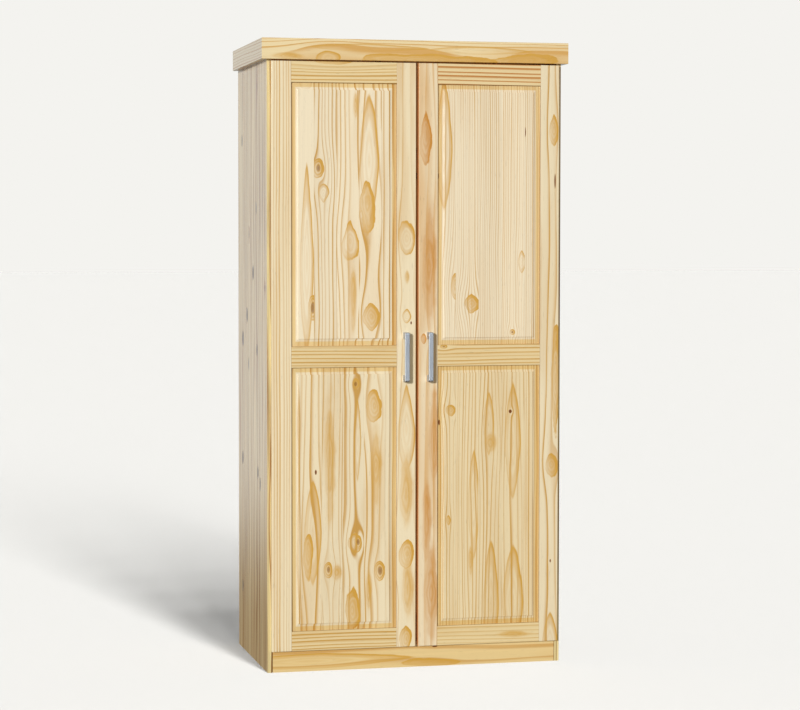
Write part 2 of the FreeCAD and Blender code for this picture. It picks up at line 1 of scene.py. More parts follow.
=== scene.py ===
import math
import bpy
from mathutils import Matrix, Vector


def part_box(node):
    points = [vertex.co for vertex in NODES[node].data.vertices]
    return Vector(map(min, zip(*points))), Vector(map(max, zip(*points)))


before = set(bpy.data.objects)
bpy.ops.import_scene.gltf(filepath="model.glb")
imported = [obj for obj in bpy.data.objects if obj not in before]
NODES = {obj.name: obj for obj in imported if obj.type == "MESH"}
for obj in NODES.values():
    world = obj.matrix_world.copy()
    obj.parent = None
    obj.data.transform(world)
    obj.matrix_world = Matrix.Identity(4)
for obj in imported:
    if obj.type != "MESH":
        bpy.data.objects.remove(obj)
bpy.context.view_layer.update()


# ---------------------------------------------------------------- shader arithmetic
def plug(tree, value, socket):
    """Set a socket to a number, a tuple or another node's output."""
    if isinstance(value, Field):
        tree.links.new(value.socket, socket)
    else:
        socket.default_value = value


class Field:
    """A value that varies over a surface. Its arithmetic adds Math nodes to the tree."""

    def __init__(self, tree, socket):
        self.tree = tree
        self.socket = socket

    def math(self, operation, *values):
        node = self.tree.nodes.new("ShaderNodeMath")
        node.operation = operation
        for slot, value in zip(node.inputs, (self,) + values):
            plug(self.tree, value, slot)
        return Field(self.tree, node.outputs[0])

    def __add__(self, other):
        return self.math("ADD", other)

    def __sub__(self, other):
        return self.math("SUBTRACT", other)

    def __mul__(self, other):
        return self.math("MULTIPLY", other)

    def __truediv__(self, other):
        return self.math("DIVIDE", other)

    def inverse(self):
        """One minus the value."""
        return self * -1.0 + 1.0

    def step(self, low, high):
        """0 below low, 1 above high, smooth between."""
        node = self.tree.nodes.new("ShaderNodeMapRange")
        node.interpolation_type = "SMOOTHSTEP"
        plug(self.tree, self, node.inputs["Value"])
        plug(self.tree, low, node.inputs["From Min"])
        plug(self.tree, high, node.inputs["From Max"])
        return Field(self.tree, node.outputs["Result"])


def vector(tree, x, y, z):
    node = tree.nodes.new("ShaderNodeCombineXYZ")
    for slot, value in zip(node.inputs, (x, y, z)):
        plug(tree, value, slot)
    return Field(tree, node.outputs[0])


def split(place):
    node = place.tree.nodes.new("ShaderNodeSeparateXYZ")
    plug(place.tree, place, node.inputs[0])
    return [Field(place.tree, output) for output in node.outputs]


def noise(place, detail=2.0):
    """Smooth noise, about 0.5 on average, with features one unit of place apart."""
    node = place.tree.nodes.new("ShaderNodeTexNoise")
    plug(place.tree, place, node.inputs["Vector"])
    node.inputs["Scale"].default_value = 1.0
    node.inputs["Detail"].default_value = detail
    return Field(place.tree, node.outputs["Fac"])


def stretched(x, y, z, fineness, detail=2.0):
    """Noise drawn out along z. fineness is its cycles a metre across z and along it."""
    across, along = fineness
    return noise(vector(x.tree, x * across, y * across, z * along), detail)


def dice(place):
    """Three random numbers for each whole-number place."""
    node = place.tree.nodes.new("ShaderNodeTexWhiteNoise")
    node.noise_dimensions = "3D"
    plug(place.tree, place, node.inputs["Vector"])
    return split(Field(place.tree, node.outputs["Color"]))


MIX_FACTOR, MIX_FIRST, MIX_SECOND, MIX_RESULT = 0, 6, 7, 2   # a Mix node's colour sockets


def blend(tree, first, second, factor):
    """Colour between first and second."""
    node = tree.nodes.new("ShaderNodeMix")
    node.data_type = "RGBA"
    plug(tree, factor, node.inputs[MIX_FACTOR])
    plug(tree, first, node.inputs[MIX_FIRST])
    plug(tree, second, node.inputs[MIX_SECOND])
    return Field(tree, node.outputs[MIX_RESULT])


def shade(tree, colour, brightness):
    """Colour times a brightness."""
    node = tree.nodes.new("ShaderNodeVectorMath")
    node.operation = "SCALE"
    plug(tree, colour[:3] if isinstance(colour, tuple) else colour, node.inputs[0])
    plug(tree, brightness, node.inputs["Scale"])
    return Field(tree, node.outputs[0])


def tint(tree, colour, filter_colour):
    """Colour seen through a filter."""
    node = tree.nodes.new("ShaderNodeVectorMath")
    node.operation = "MULTIPLY"
    plug(tree, colour, node.inputs[0])
    plug(tree, filter_colour, node.inputs[1])
    return Field(tree, node.outputs[0])


def linear(red, green, blue):
    """Linear colour of an everyday 0-255 one, by the sRGB curve."""
    def channel(value):
        value = value / 255.0
        return value / 12.92 if value <= 0.04045 else ((value + 0.055) / 1.055) ** 2.4
    return (channel(red), channel(green), channel(blue), 1.0)


def group(name, inputs, outputs):
    """Empty node group; returns its tree and its input fields by name."""
    tree = bpy.data.node_groups.new(name, "ShaderNodeTree")
    kinds = {"float": "NodeSocketFloat", "colour": "NodeSocketColor",
             "vector": "NodeSocketVector"}
    for label, kind in inputs:
        tree.interface.new_socket(name=label, in_out="INPUT", socket_type=kinds[kind])
    for label, kind in outputs:
        tree.interface.new_socket(name=label, in_out="OUTPUT", socket_type=kinds[kind])
    entry = tree.nodes.new("NodeGroupInput")
    return tree, {label: Field(tree, entry.outputs[label]) for label, _ in inputs}


def close_group(tree, **results):
    """Send a group's results out; returns its tree."""
    leave = tree.nodes.new("NodeGroupOutput")
    for label, value in results.items():
        plug(tree, value, leave.inputs[label])
    return tree


def use_group(tree, made, **values):
    """Put a group in a tree; returns its outputs by name."""
    node = tree.nodes.new("ShaderNodeGroup")
    node.node_tree = made
    for label, value in values.items():
        plug(tree, value, node.inputs[label])
    return {output.name: Field(tree, output) for output in node.outputs}


# ---------------------------------------------------------------- the pine itself
MARK_LOOKS = ("Soft", "Fill", "Rim", "Dark", "Eye", "Push", "Round", "Rough")
MARKS = {   # what each kind of mark in the wood looks like, in the order above
    "heart": (0.10, 0.55, 0.35, 0.0, 0.3, 0.7, 1.7, 1.3),
    "oval": (0.10, 0.10, 0.75, 0.0, 0.3, 0.7, 1.8, 1.0),
    "loop": (0.08, 0.08, 0.55, 0.0, 0.3, 0.5, 1.5, 0.2),
    "cloud": (0.6, 0.6, 0.0, 0.0, 0.3, 0.2, 1.7, 0.8),
    "knot": (0.12, 0.6, 0.3, 0.58, 0.35, 0.9, 2.0, 0.8),
    "speck": (0.5, 0.3, 0.0, 1.0, 0.7, 0.6, 1.8, 0.8),
}
NARROWEST = 0.3                 # a tapered mark's least width, as a share
MARK_RINGS = 22.0               # faint rings inside a mark, in radians for its half width
RING_DEPTH, KNOT_RING_DEPTH = 0.09, 0.2     # depth of those rings, and what darkness adds
HEEL_ALONG, HEEL_ACROSS = 0.3, 0.6          # how the gold deepens along and across a mark
RIM_RISE = (0.5, 0.95)          # where a mark's rim starts and where it is full
CORE_BLUR = 0.12                # softness of a knot's dark core
PUSH_ACROSS, PUSH_ALONG = -0.3, -0.2        # how fast the push on the grain dies away


def make_mark_group():
    """One knot, heart or golden patch, and how far it pushes the grain aside."""
    inputs = ("Across", "Along", "Wobble", "Start", "Strip", "Centre", "Middle", "Width",
              "Length", "Taper") + MARK_LOOKS + ("Shift", "Gold", "Core")
    tree, given = group("Wood mark", [(name, "float") for name in inputs],
                        [(name, "float") for name in ("Shift", "Gold", "Core")])
    # a mark stays within the glued strip that its centre lies in
    here = ((given["Across"] - given["Start"]) / given["Strip"]).math("FLOOR")
    there = ((given["Centre"] - given["Start"]) / given["Strip"]).math("FLOOR")
    same_strip = (here - there).math("ABSOLUTE").math("MINIMUM", 1.0).inverse()
    aside = given["Across"] - given["Centre"]
    far = (given["Along"] - given["Middle"]) / given["Length"]
    near = aside / given["Width"]
    narrow = (far * given["Taper"]).inverse().math("MAXIMUM", NARROWEST)
    power = given["Round"]
    reach = ((near / narrow).math("ABSOLUTE").math("POWER", power)
             + far.math("ABSOLUTE").math("POWER", power))
    reach = (reach.math("POWER", power.math("POWER", -1.0))
             + given["Wobble"] * given["Rough"])
    inside = reach.step(given["Soft"].inverse(), 1.0).inverse() * same_strip
    eyes = (reach * MARK_RINGS).math("SINE") * (given["Dark"] * KNOT_RING_DEPTH + RING_DEPTH)
    heel = far * HEEL_ALONG + near * HEEL_ACROSS + 1.05
    rim = given["Rim"] * reach.step(*RIM_RISE)
    gold = inside * ((given["Fill"] + rim) * heel + eyes)
    core = (reach - given["Eye"]).step(-CORE_BLUR, CORE_BLUR).inverse() * given["Dark"]
    swell = near * near * PUSH_ACROSS + far * far * PUSH_ALONG
    push = aside * given["Push"] * swell.math("EXPONENT") * same_strip
    return close_group(tree, Shift=given["Shift"] + push,
                       Gold=given["Gold"].math("MAXIMUM", gold),
                       Core=given["Core"].math("MAXIMUM", core * same_strip))


# Fineness of the pine's noises, in cycles a metre across the grain and along it.
BENDS, SWAYS = (4.0, 1.3), (24.0, 4.0)
CLOUDS, STREAKS = (20.0, 1.7), (150.0, 2.2)
FIBRES, DUCTS = (1300.0, 14.0), (600.0, 40.0)
FADES = (9.0, 2.2)
RING_NOISE = 60.0               # cycles a metre of the rings' uneven spacing
SWAY = 0.004                    # how far the small sways move a ring, in metres
UNEVEN = 1.6                    # how far a ring strays from even spacing, in rings
LATE_EDGE = 0.93                # share of a ring's width where its dark line ends
STRIP_LENGTH = 9.0              # the strips are cut from this length of trunk, in metres
SEAM = 0.0006                   # width of the glue line between two strips
LACQUER = 0.17                  # roughness of the lacquer
WHITE = (1.0, 1.0, 1.0, 1.0)


def make_pine_group():
    """Solid pine: growth rings round a pith, glued strips, fibres and resin ducts."""
    floats = ("Seed", "Strip", "Start", "Pith across", "Pith depth", "Spread", "Ring",
              "Wander", "Thin", "Line", "Stain", "Streaks", "Shift", "Mark", "Core",
              "Border")
    colours = ("Pale", "Gold", "Heart", "Brown", "Light and shade")
    tree, given = group(
        "Pine", [("Place", "vector")] + [(name, "float") for name in floats]
        + [(name, "colour") for name in colours],
        [("Colour", "colour"), ("Height", "float"), ("Roughness", "float")])
    across, through, along = split(given["Place"])
    seed = given["Seed"]

    # glued strips, each cut from another place in a trunk
    strips = (across - given["Start"]) / given["Strip"]
    strip = strips.math("FLOOR")
    inside = strips - strip
    local = (inside + -0.5) * given["Strip"] - given["Shift"]
    pick_a, pick_b, pick_c = dice(vector(tree, strip, seed, 3.5))
    far = along + pick_c * STRIP_LENGTH + seed

    # distance from the pith, bent by the trunk's own wander
    bend = noise(vector(tree, local * BENDS[0] + strip * 13.1, through * BENDS[0],
                        far * BENDS[1]), 1.0)
    sway = noise(vector(tree, local * SWAYS[0], through * SWAYS[0], far * SWAYS[1] + seed))
    side = local - given["Pith across"] - (pick_a + -0.5) * given["Spread"]
    deep = through - given["Pith depth"] - (pick_b + -0.5) * given["Spread"]
    radius = ((side * side + deep * deep).math("SQRT") + (bend + -0.5) * given["Wander"]
              + (sway + -0.5) * SWAY)

    # rings: pale early wood that darkens late, then a sharp edge
    uneven = noise(vector(tree, radius * RING_NOISE, strip * 7.3, seed), 1.0)
    rings = radius / given["Ring"] + uneven * UNEVEN
    ring = rings.math("FLOOR")
    phase = rings - ring
    weight = dice(vector(tree, ring, strip, seed))[0]
    rise = phase.step(given["Thin"], LATE_EDGE)
    late = rise * rise * phase.step(LATE_EDGE, 1.0).inverse()
    fade = noise(vector(tree, local * FADES[0], strip * 5.7, far * FADES[1]), 1.0)
    fade = fade.step(0.25, 0.6)
    # a ring that lies flat in the board's face makes a broader and fainter line
    slant = (side.math("ABSOLUTE") / radius).step(0.0, 0.5) * 0.65 + 0.35
    line = late * slant * (weight * 0.7 + 0.35) * (fade * 0.45 + 0.55) * given["Line"]

    # slow stains, streaks, fibres and fine dark resin ducts
    cloud = noise(vector(tree, local * CLOUDS[0] + strip * 3.1, through * CLOUDS[0],
                         far * CLOUDS[1]))
    stain = cloud.step(0.46, 0.72) * given["Stain"]
    streak = stretched(across, through, far, STREAKS)
    fibre = stretched(across, through, far, FIBRES, detail=1.0)
    duct = stretched(across, through, far, DUCTS, detail=0.0).step(0.75, 0.82)
    seam = (inside.math("PINGPONG", 0.5) * given["Strip"]).step(0.0, SEAM).inverse()

    tone = ((streak + -0.5) * given["Streaks"] + (fibre + -0.5) * 0.08 + pick_b * 0.06
            + 0.97 - duct * 0.14 - seam * 0.16)
    gold = (stain * 0.5 + line).math("MINIMUM", 1.0)
    colour = blend(tree, given["Pale"], given["Gold"], gold)
    colour = blend(tree, colour, given["Heart"], given["Mark"].math("MINIMUM", 1.0))
    # painted light and shade over the border strips: darker coves and door edges, lighter side
    # edges
    light_and_shade = blend(tree, WHITE, given["Light and shade"], given["Border"])
    colour = shade(tree, tint(tree, colour, light_and_shade), tone)
    colour = blend(tree, colour, given["Brown"], given["Core"])
    height = line * 0.5 + fibre * 0.5 - duct * 0.6 - given["Core"] * 0.3
    roughness = fibre * 0.06 + LACQUER + given["Border"] * 0.1 + given["Core"] * 0.1
    return close_group(tree, Colour=colour, Height=height, Roughness=roughness)


MARK = make_mark_group()
PINE = make_pine_group()
AXES = {"x": (2, 1, 0), "z": (0, 1, 2), "side": (1, 0, 2), "shelf": (1, 2, 0),
        "crown": (2, 0, 1)}      # which coordinates are across, through and along
WHOLE = 10.0                    # strips this wide leave a board in one piece
RIPPLES, SAGS = (70.0, 34.0), (24.0, 11.0)   # fineness of the marks' uneven outlines
EDGE_BLUR = 0.0004              # softness of the amber's and the cuts' outlines
CUT_DARKNESS = 0.5
PALE = linear(242, 226, 190)
GOLD = linear(207, 159, 80)
HEART = linear(214, 164, 70)
COVE_SHADE = (0.92, 0.79, 0.52, 1.0)  # painted shade: darker golden filter over the panels' recessed coves
BROWN = linear(122, 66, 14)


def new_material(name):
    """Material with its tree and its shader."""
    material = bpy.data.materials.new(name)
    material.use_nodes = True
    return material, material.node_tree, material.node_tree.nodes["Principled BSDF"]


def surface_place(tree):
    """Place on the object in metres, which stays with the piece as it moves."""
    node = tree.nodes.new("ShaderNodeTexCoord")
    return Field(tree, node.outputs["Object"])


def bump(tree, shader, height, strength, distance):
    """Fine relief; the shape itself is the CAD's."""
    node = tree.nodes.new("ShaderNodeBump")
    node.inputs["Strength"].default_value = strength
    node.inputs["Distance"].default_value = distance
    plug(tree, height, node.inputs["Height"])
    tree.links.new(node.outputs["Normal"], shader.inputs["Normal"])


def paint(material, nodes):
    """Give CAD nodes their material."""
    for node in nodes:
        mesh = NODES[node].data
        mesh.materials.clear()
        mesh.materials.append(material)


def outside(place, low, high):
    """1 beyond low or high, 0 between."""
    return (place.step(low - EDGE_BLUR, low + EDGE_BLUR)
            * place.step(high - EDGE_BLUR, high + EDGE_BLUR).inverse()).inverse()


def edge_strips(face, least, most, widths):
    """1 on a strip along each edge of a board's face, 0 between.

    face is the coordinates across and along the grain, least and most are their limits.
    widths is low and high across, then low and high along.
    """
    across = outside(face[0], least[0] + widths[0], most[0] - widths[1])
    along = outside(face[1], least[1] + widths[2], most[1] - widths[3])
    return across.math("MAXIMUM", along)


def add_marks(tree, face, seed, strip, start, marks):
    """Chain a board's marks: the push on the grain, the gold and the dark cores."""
    across, along = face
    ripple = noise(vector(tree, across * RIPPLES[0], seed, along * RIPPLES[1])) + -0.5
    sag = noise(vector(tree, across * SAGS[0], seed + 5.0, along * SAGS[1]), 1.0) + -0.5
    wobble = ripple * 0.3 + sag * 0.8
    shift, gold, core = 0.0, 0.0, 0.0
    for kind, *sizes, taper in marks:
        centre, middle, width, length = [size / 1000.0 for size in sizes]
        made = use_group(tree, MARK, **{
            "Across": across, "Along": along, "Wobble": wobble, "Start": start,
            "Strip": strip, "Centre": centre, "Middle": middle, "Width": width,
            "Length": length, "Taper": taper, "Shift": shift, "Gold": gold,
            "Core": core}, **dict(zip(MARK_LOOKS, MARKS[kind])))
        shift, gold, core = made["Shift"], made["Gold"], made["Core"]
    return shift, gold, core


def pine(node, grain, seed, marks=(), strip=WHOLE, start=None, border=None, joint=None,
         pith=(0.0, 0.06), spread=0.0, ring=0.006, wander=0.02, thin=0.4, line=1.2,
         stain=0.4, streaks=0.12, pale=PALE, gold=GOLD, heart=HEART, brown=BROWN,
         light_and_shade=COVE_SHADE):
    """Cut a board from its own pine. Lengths in metres, marks in millimetres.

    border is the widths of the edges filtered with painted light and shade, joint those of
    the dark lines where boards meet, both in the order of edge_strips.
    """
    low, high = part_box(node)
    middle = (low + high) / 2
    a, t, l = AXES[grain]
    if start is None:
        start = middle[a] - strip / 2
    material, tree, shader = new_material("pine_" + node)
    place = split(surface_place(tree))
    face = (place[a], place[l])
    least, most = (low[a], low[l]), (high[a], high[l])
    shift, mark, core = add_marks(tree, face, seed, strip, start, marks)
    edge = edge_strips(face, least, most, border) if border else 0.0
    if joint:
        core = (edge_strips(face, least, most, joint) * CUT_DARKNESS).math("MAXIMUM", core)
    wood = use_group(tree, PINE, **{
        "Place": vector(tree, face[0], place[t] - middle[t], face[1]),
        "Seed": seed, "Strip": strip, "Start": start, "Pith across": pith[0],
        "Pith depth": pith[1], "Spread": spread, "Ring": ring, "Wander": wander,
        "Thin": thin, "Line": line, "Stain": stain, "Streaks": streaks, "Shift": shift,
        "Mark": mark, "Core": core, "Border": edge, "Pale": pale, "Gold": gold,
        "Heart": heart, "Brown": brown, "Light and shade": light_and_shade})
    plug(tree, wood["Colour"], shader.inputs["Base Color"])
    plug(tree, wood["Roughness"], shader.inputs["Roughness"])
    bump(tree, shader, wood["Height"], strength=0.3, distance=0.0002)
    paint(material, [node])


# ---------------------------------------------------------------- boards
# A mark is kind, across, along, half width, half length and taper; the lengths are in
# millimetres in the wardrobe's frame.
COVE = (0.0215,) * 4            # width of the painted shade over a panel's land and cove
MEETING_SHADE = (0.92, 0.58, 0.34, 1.0)   # painted shade: brown filter over the doors' meeting edges, for the gap between them
EDGE = 0.0008                   # edge filter strip: painted shade on the doors, painted light on the sides
CUT = 0.0009                    # width of the dark line where two boards meet
NONE = -1.0                     # for an edge that has neither
STRIP_START = -0.226            # where the carcass boards' first glued strip starts
# The side panels' front edges get a lighter filter: painted light, so they match the lit
# front.
SIDE = {"strip": 0.062, "start": STRIP_START, "spread": 0.12, "ring": 0.009, "line": 2.1,
        "stain": 1.0, "thin": 0.3, "streaks": 1.1, "light_and_shade": (1.1, 1.16, 1.0, 1.0),
        "pale": linear(231, 207, 160), "gold": linear(172, 122, 74),
        "heart": linear(172, 116, 70), "brown": linear(60, 32, 18)}
LOW_EDGE, HIGH_EDGE = (EDGE, NONE, NONE, NONE), (NONE, EDGE, NONE, NONE)
LOW_CUT, HIGH_CUT = (CUT, NONE, NONE, NONE), (NONE, CUT, NONE, NONE)
END_CUTS = (NONE, NONE, CUT, CUT)
SIDE_KNOTS = [("speck", y, z, 14, 30, 0) for y, z in (
    (203, 1613), (-44, 1398), (10, 1198), (118, 1065), (192, 990), (-57, 964), (84, 913),
    (197, 611), (-70, 590), (-104, 557), (202, 201))]
SIDE_KNOTS += [("knot", -65, 1765, 12, 40, 0), ("knot", 80, 1315, 18, 28, 0),
               ("knot", -193, 1156, 14, 20, 0)]
pine("left_side_panel", "side", 1.3, SIDE_KNOTS, border=LOW_EDGE, **SIDE)
RIGHT_KNOTS = SIDE_KNOTS[3:10]  # the unseen side has fewer
pine("right_side_panel", "side", 2.7, RIGHT_KNOTS, border=LOW_EDGE, **SIDE)
for number, board in enumerate(("floor_board", "roof_board", "hat_shelf")):
    pine(board, "shelf", 4.1 + number, strip=0.07, start=STRIP_START, spread=0.12)
pine("plinth_board", "x", 7.2, [
    ("loop", 30, -330, 24, 330, 0), ("heart", 12, 50, 14, 90, 0), ("speck", 60, 62, 4, 12, 0)],
     pith=(-0.06, 0.02), stain=0.7, ring=0.02, thin=0.3, wander=0.04, line=0.8,
     pale=linear(236, 208, 148), gold=linear(206, 154, 76), joint=END_CUTS)
pine("crown_front_board", "x", 8.4, [
    ("heart", 1842, 20, 18, 240, 0), ("heart", 1844, 340, 22, 115, 0),
    ("oval", 1842, -275, 24, 42, 0), ("cloud", 1846, -400, 14, 60, 0),
    ("loop", 1875, -150, 12, 190, 0.2), ("loop", 1872, 200, 13, 170, 0.2)],
     pith=(-0.02, 0.012), ring=0.010, stain=0.9, wander=0.05, thin=0.35, line=1.6,
     pale=linear(242, 221, 173), gold=linear(218, 171, 98))
for number, board in enumerate(("left_crown_board", "right_crown_board")):
    pine(board, "crown", 9.1 + number, pith=(0.1, 0.0), ring=0.009, line=1.6,
         pale=linear(222, 202, 164), gold=linear(186, 138, 84))

pine("left_door_outer_stile", "z", 11.0, pith=(-0.25, 0.02), ring=0.0095, wander=0.012,
     thin=0.2, line=0.9, stain=0.3, joint=HIGH_CUT)
# The meeting edge is filtered brown: painted shade for the dark gap between the doors.
pine("left_door_inner_stile", "z", 12.0, [
    ("oval", -32, 1306, 26, 60, 0), ("cloud", -32, 1189, 10, 27, 0),
    ("oval", -32, 1070, 15, 23, 0), ("speck", -19, 1050, 4, 8, 0),
    ("loop", -33, 730, 28, 138, 0.3), ("cloud", -34, 543, 26, 150, 0),
    ("heart", -31, 350, 26, 50, 0), ("cloud", -29, 250, 24, 130, 0),
    ("heart", -33, 90, 20, 46, 0)],
     pith=(0.1, 0.05), ring=0.02, thin=0.6, line=0.6, stain=0.9,
     joint=LOW_CUT, border=HIGH_EDGE, light_and_shade=MEETING_SHADE)
# Painted shade on this stile's meeting edge too, for the gap between the doors.
pine("right_door_inner_stile", "z", 13.0, [
    ("heart", 27, 1612, 18, 85, 0.3), ("cloud", 36, 1219, 30, 240, 0),
    ("cloud", 53, 689, 22, 200, 0), ("cloud", 45, 227, 30, 200, 0),
    ("cloud", 30, 440, 20, 160, 0), ("heart", 21, 1001, 10, 18, 0)],
     pith=(0.1, 0.04), ring=0.014, thin=0.3, line=0.9, stain=1.1,
     gold=linear(220, 174, 110), pale=linear(243, 224, 188),
     heart=linear(206, 142, 56), joint=HIGH_CUT, border=LOW_EDGE, light_and_shade=MEETING_SHADE)
pine("right_door_outer_stile", "z", 14.0, [
    ("heart", 429, 1643, 14, 55, 0.4), ("speck", 434, 1478, 3, 30, 0),
    ("heart", 438, 870, 15, 185, 0), ("heart", 426, 613, 20, 40, 0.3),
    ("speck", 423, 314, 3, 7, 0), ("loop", 423, 60, 26, 98, 0)],
     pith=(-0.03, 0.03), ring=0.012, thin=0.3, line=1.3, stain=0.4, joint=LOW_CUT)

RAIL = {"pith": (-0.2, 0.02), "ring": 0.011, "wander": 0.015, "thin": 0.25, "line": 1.6,
        "pale": linear(238, 215, 163), "joint": (CUT,) * 4}
TOP_CUTS, BOTTOM_CUTS = (CUT, NONE, CUT, CUT), (NONE, CUT, CUT, CUT)
pine("left_door_top_rail", "x", 20.0, [("heart", 1836, -250, 14, 60, 0)],
     **dict(RAIL, pith=(-0.1, 0.02), wander=0.03, joint=TOP_CUTS))
pine("left_door_middle_rail", "x", 21.7, **RAIL)
pine("left_door_bottom_rail", "x", 23.4, **dict(RAIL, joint=BOTTOM_CUTS))
pine("right_door_top_rail", "x", 27.0, **dict(
    RAIL, line=2.2, ring=0.013, gold=linear(196, 134, 66), joint=TOP_CUTS))
pine("right_door_middle_rail", "x", 28.7, [("knot", 977, 83, 8, 13, 0)], **RAIL)
pine("right_door_bottom_rail", "x", 30.4, [("cloud", 92, 300, 14, 70, 0)],
     **dict(RAIL, line=0.8, stain=0.9, joint=BOTTOM_CUTS))

pine("left_door_upper_panel", "z", 35.2, [
    ("knot", -304, 1515, 19, 32, 0), ("loop", -289, 1440, 18, 30, -0.4),
    ("heart", -154, 1399, 27, 78, 0), ("oval", -206, 1296, 26, 62, 0.4),
    ("heart", -142, 1072, 28, 42, 0), ("knot", -322, 1100, 15, 44, 0),
    ("cloud", -191, 1700, 11, 50, 0), ("loop", -149, 1540, 32, 210, 0),
    ("loop", -340, 1240, 22, 290, 0.2), ("cloud", -198, 1126, 14, 125, 0)],
     strip=0.069, start=-0.387, pith=(0.05, 0.02), spread=0.09, ring=0.011, wander=0.03,
     thin=0.4, line=1.6, stain=0.45, border=COVE, pale=linear(245, 230, 198))
pine("left_door_lower_panel", "z", 32.0, [
    ("knot", -191, 867, 12, 18, 0), ("heart", -132, 801, 25, 48, 0),
    ("cloud", -128, 623, 24, 150, 0), ("loop", -185, 700, 12, 130, 0),
    ("knot", -183, 391, 12, 23, 0), ("oval", -192, 387, 22, 32, 0),
    ("speck", -313, 604, 5, 12, 0), ("loop", -322, 420, 28, 165, 0),
    ("heart", -335, 350, 17, 80, 0), ("knot", -274, 309, 14, 28, 0),
    ("cloud", -250, 300, 22, 34, 0), ("knot", -115, 300, 18, 32, 0),
    ("cloud", -270, 628, 22, 270, 0), ("heart", -201, 180, 24, 76, 0),
    ("cloud", -150, 236, 14, 90, 0)],
     strip=0.065, start=-0.36, pith=(0.05, 0.02), spread=0.09, ring=0.014, wander=0.03,
     thin=0.5, line=1.3, stain=0.6, border=COVE)
pine("right_door_upper_panel", "z", 33.0, [
    ("speck", 338, 1627, 4, 22, 0), ("heart", 118, 1165, 14, 42, 0),
    ("heart", 169, 1107, 26, 30, 0), ("loop", 329, 1234, 13, 36, 0),
    ("loop", 84, 1590, 26, 210, 0.2), ("knot", 300, 1019, 9, 10, 0),
    ("speck", 66, 1493, 3, 13, 0)],
     strip=0.0725, start=0.048, pith=(0.15, 0.01), spread=0.05, ring=0.0062, wander=0.02,
     thin=0.2, line=0.9, stain=0.25, border=COVE, pale=linear(245, 230, 199))
pine("right_door_lower_panel", "z", 34.0, [
    ("loop", 302, 686, 27, 184, 0), ("speck", 294, 777, 6, 7, 0),
    ("loop", 226, 740, 18, 102, 0), ("cloud", 231, 681, 28, 44, 0),
    ("loop", 179, 495, 19, 174, 0), ("loop", 234, 180, 26, 210, 0),
    ("loop", 304, 190, 35, 185, 0), ("cloud", 169, 321, 10, 66, 0),
    ("heart", 105, 785, 16, 20, 0), ("heart", 99, 449, 8, 18, 0),
    ("speck", 70, 747, 4, 12, 0)],
     strip=0.0725, start=0.048, pith=(0.09, 0.02), spread=0.03, ring=0.009, wander=0.02,
     thin=0.45, line=1.4, stain=0.5, border=COVE, pale=linear(239, 219, 176))


# ---------------------------------------------------------------- metal, board, plastic
BRUSHING, SMUDGES = (2600.0, 60.0), (90.0, 40.0)     # cycles a metre across z and along it
SPECKS, PATCHES = (700.0, 520.0), (9.0, 7.0)
EXTRUSION = (900.0, 6.0)
BOARD_PALE, BOARD_DARK = linear(176, 140, 98), linear(146, 110, 72)


def metal(name, nodes, base, roughness, brushed):
    """Satin metal with fine brushing along Z, and small smudges."""
    material, tree, shader = new_material(name)
    place = split(surface_place(tree))
    lines = stretched(*place, BRUSHING)
    smudge = stretched(*place, SMUDGES, detail=3.0)
    tone = (lines + -0.5) * (0.3 * brushed) + (smudge + -0.5) * 0.1 + 1.0
    plug(tree, shade(tree, base, tone), shader.inputs["Base Color"])
    plug(tree, lines * (0.3 * brushed) + smudge * 0.12 + roughness,
         shader.inputs["Roughness"])
    shader.inputs["Metallic"].default_value = 1.0
    bump(tree, shader, lines, strength=0.2 * brushed, distance=0.0001)
    paint(material, nodes)


def hardboard(name, nodes):
    """Thin pressed board: matt brown with short specks."""
    material, tree, shader = new_material(name)
    place = split(surface_place(tree))
    speck = stretched(*place, SPECKS, detail=3.0)
    patch = stretched(*place, PATCHES, detail=3.0)
    colour = blend(tree, BOARD_PALE, BOARD_DARK, speck.step(0.4, 0.7))
    plug(tree, shade(tree, colour, patch * 0.2 + 0.9), shader.inputs["Base Color"])
    shader.inputs["Roughness"].default_value = 0.7
    bump(tree, shader, speck, strength=0.3, distance=0.0002)
    paint(material, nodes)


def plastic(name, nodes, base):
    """Matt extruded plastic with faint lengthwise lines."""
    material, tree, shader = new_material(name)
    lines = stretched(*split(surface_place(tree)), EXTRUSION)
    plug(tree, shade(tree, base, lines * 0.12 + 0.94), shader.inputs["Base Color"])
    shader.inputs["Roughness"].default_value = 0.45
    bump(tree, shader, lines, strength=0.15, distance=0.0001)
    paint(material, nodes)


def named(*endings):
    """CAD nodes whose names end in one of these."""
    return [name for name in NODES if name.endswith(endings)]


metal("satin_handle", named("door_handle"), linear(190, 192, 195), roughness=0.34, brushed=1.0)
metal("bright_plate", named("hanging_rail", "rail_socket"), linear(215, 217, 220),
      roughness=0.08, brushed=0.1)
metal("pressed_steel", named("hinge_cup", "hinge_arm", "hinge_plates", "hinge_pins"),
      linear(196, 196, 194), roughness=0.24, brushed=0.3)
metal("zinc", named("screws", "nails", "cam_bolts", "cam_discs", "shelf_pins"),
      linear(190, 190, 184), roughness=0.34, brushed=0.3)
hardboard("hardboard", named("back_panel"))
plastic("strip_plastic", named("back_joint_strip"), linear(150, 116, 80))
pine("connecting_dowels", "shelf", 41.0, ring=0.002, pale=linear(226, 196, 158),
     gold=linear(196, 156, 110))


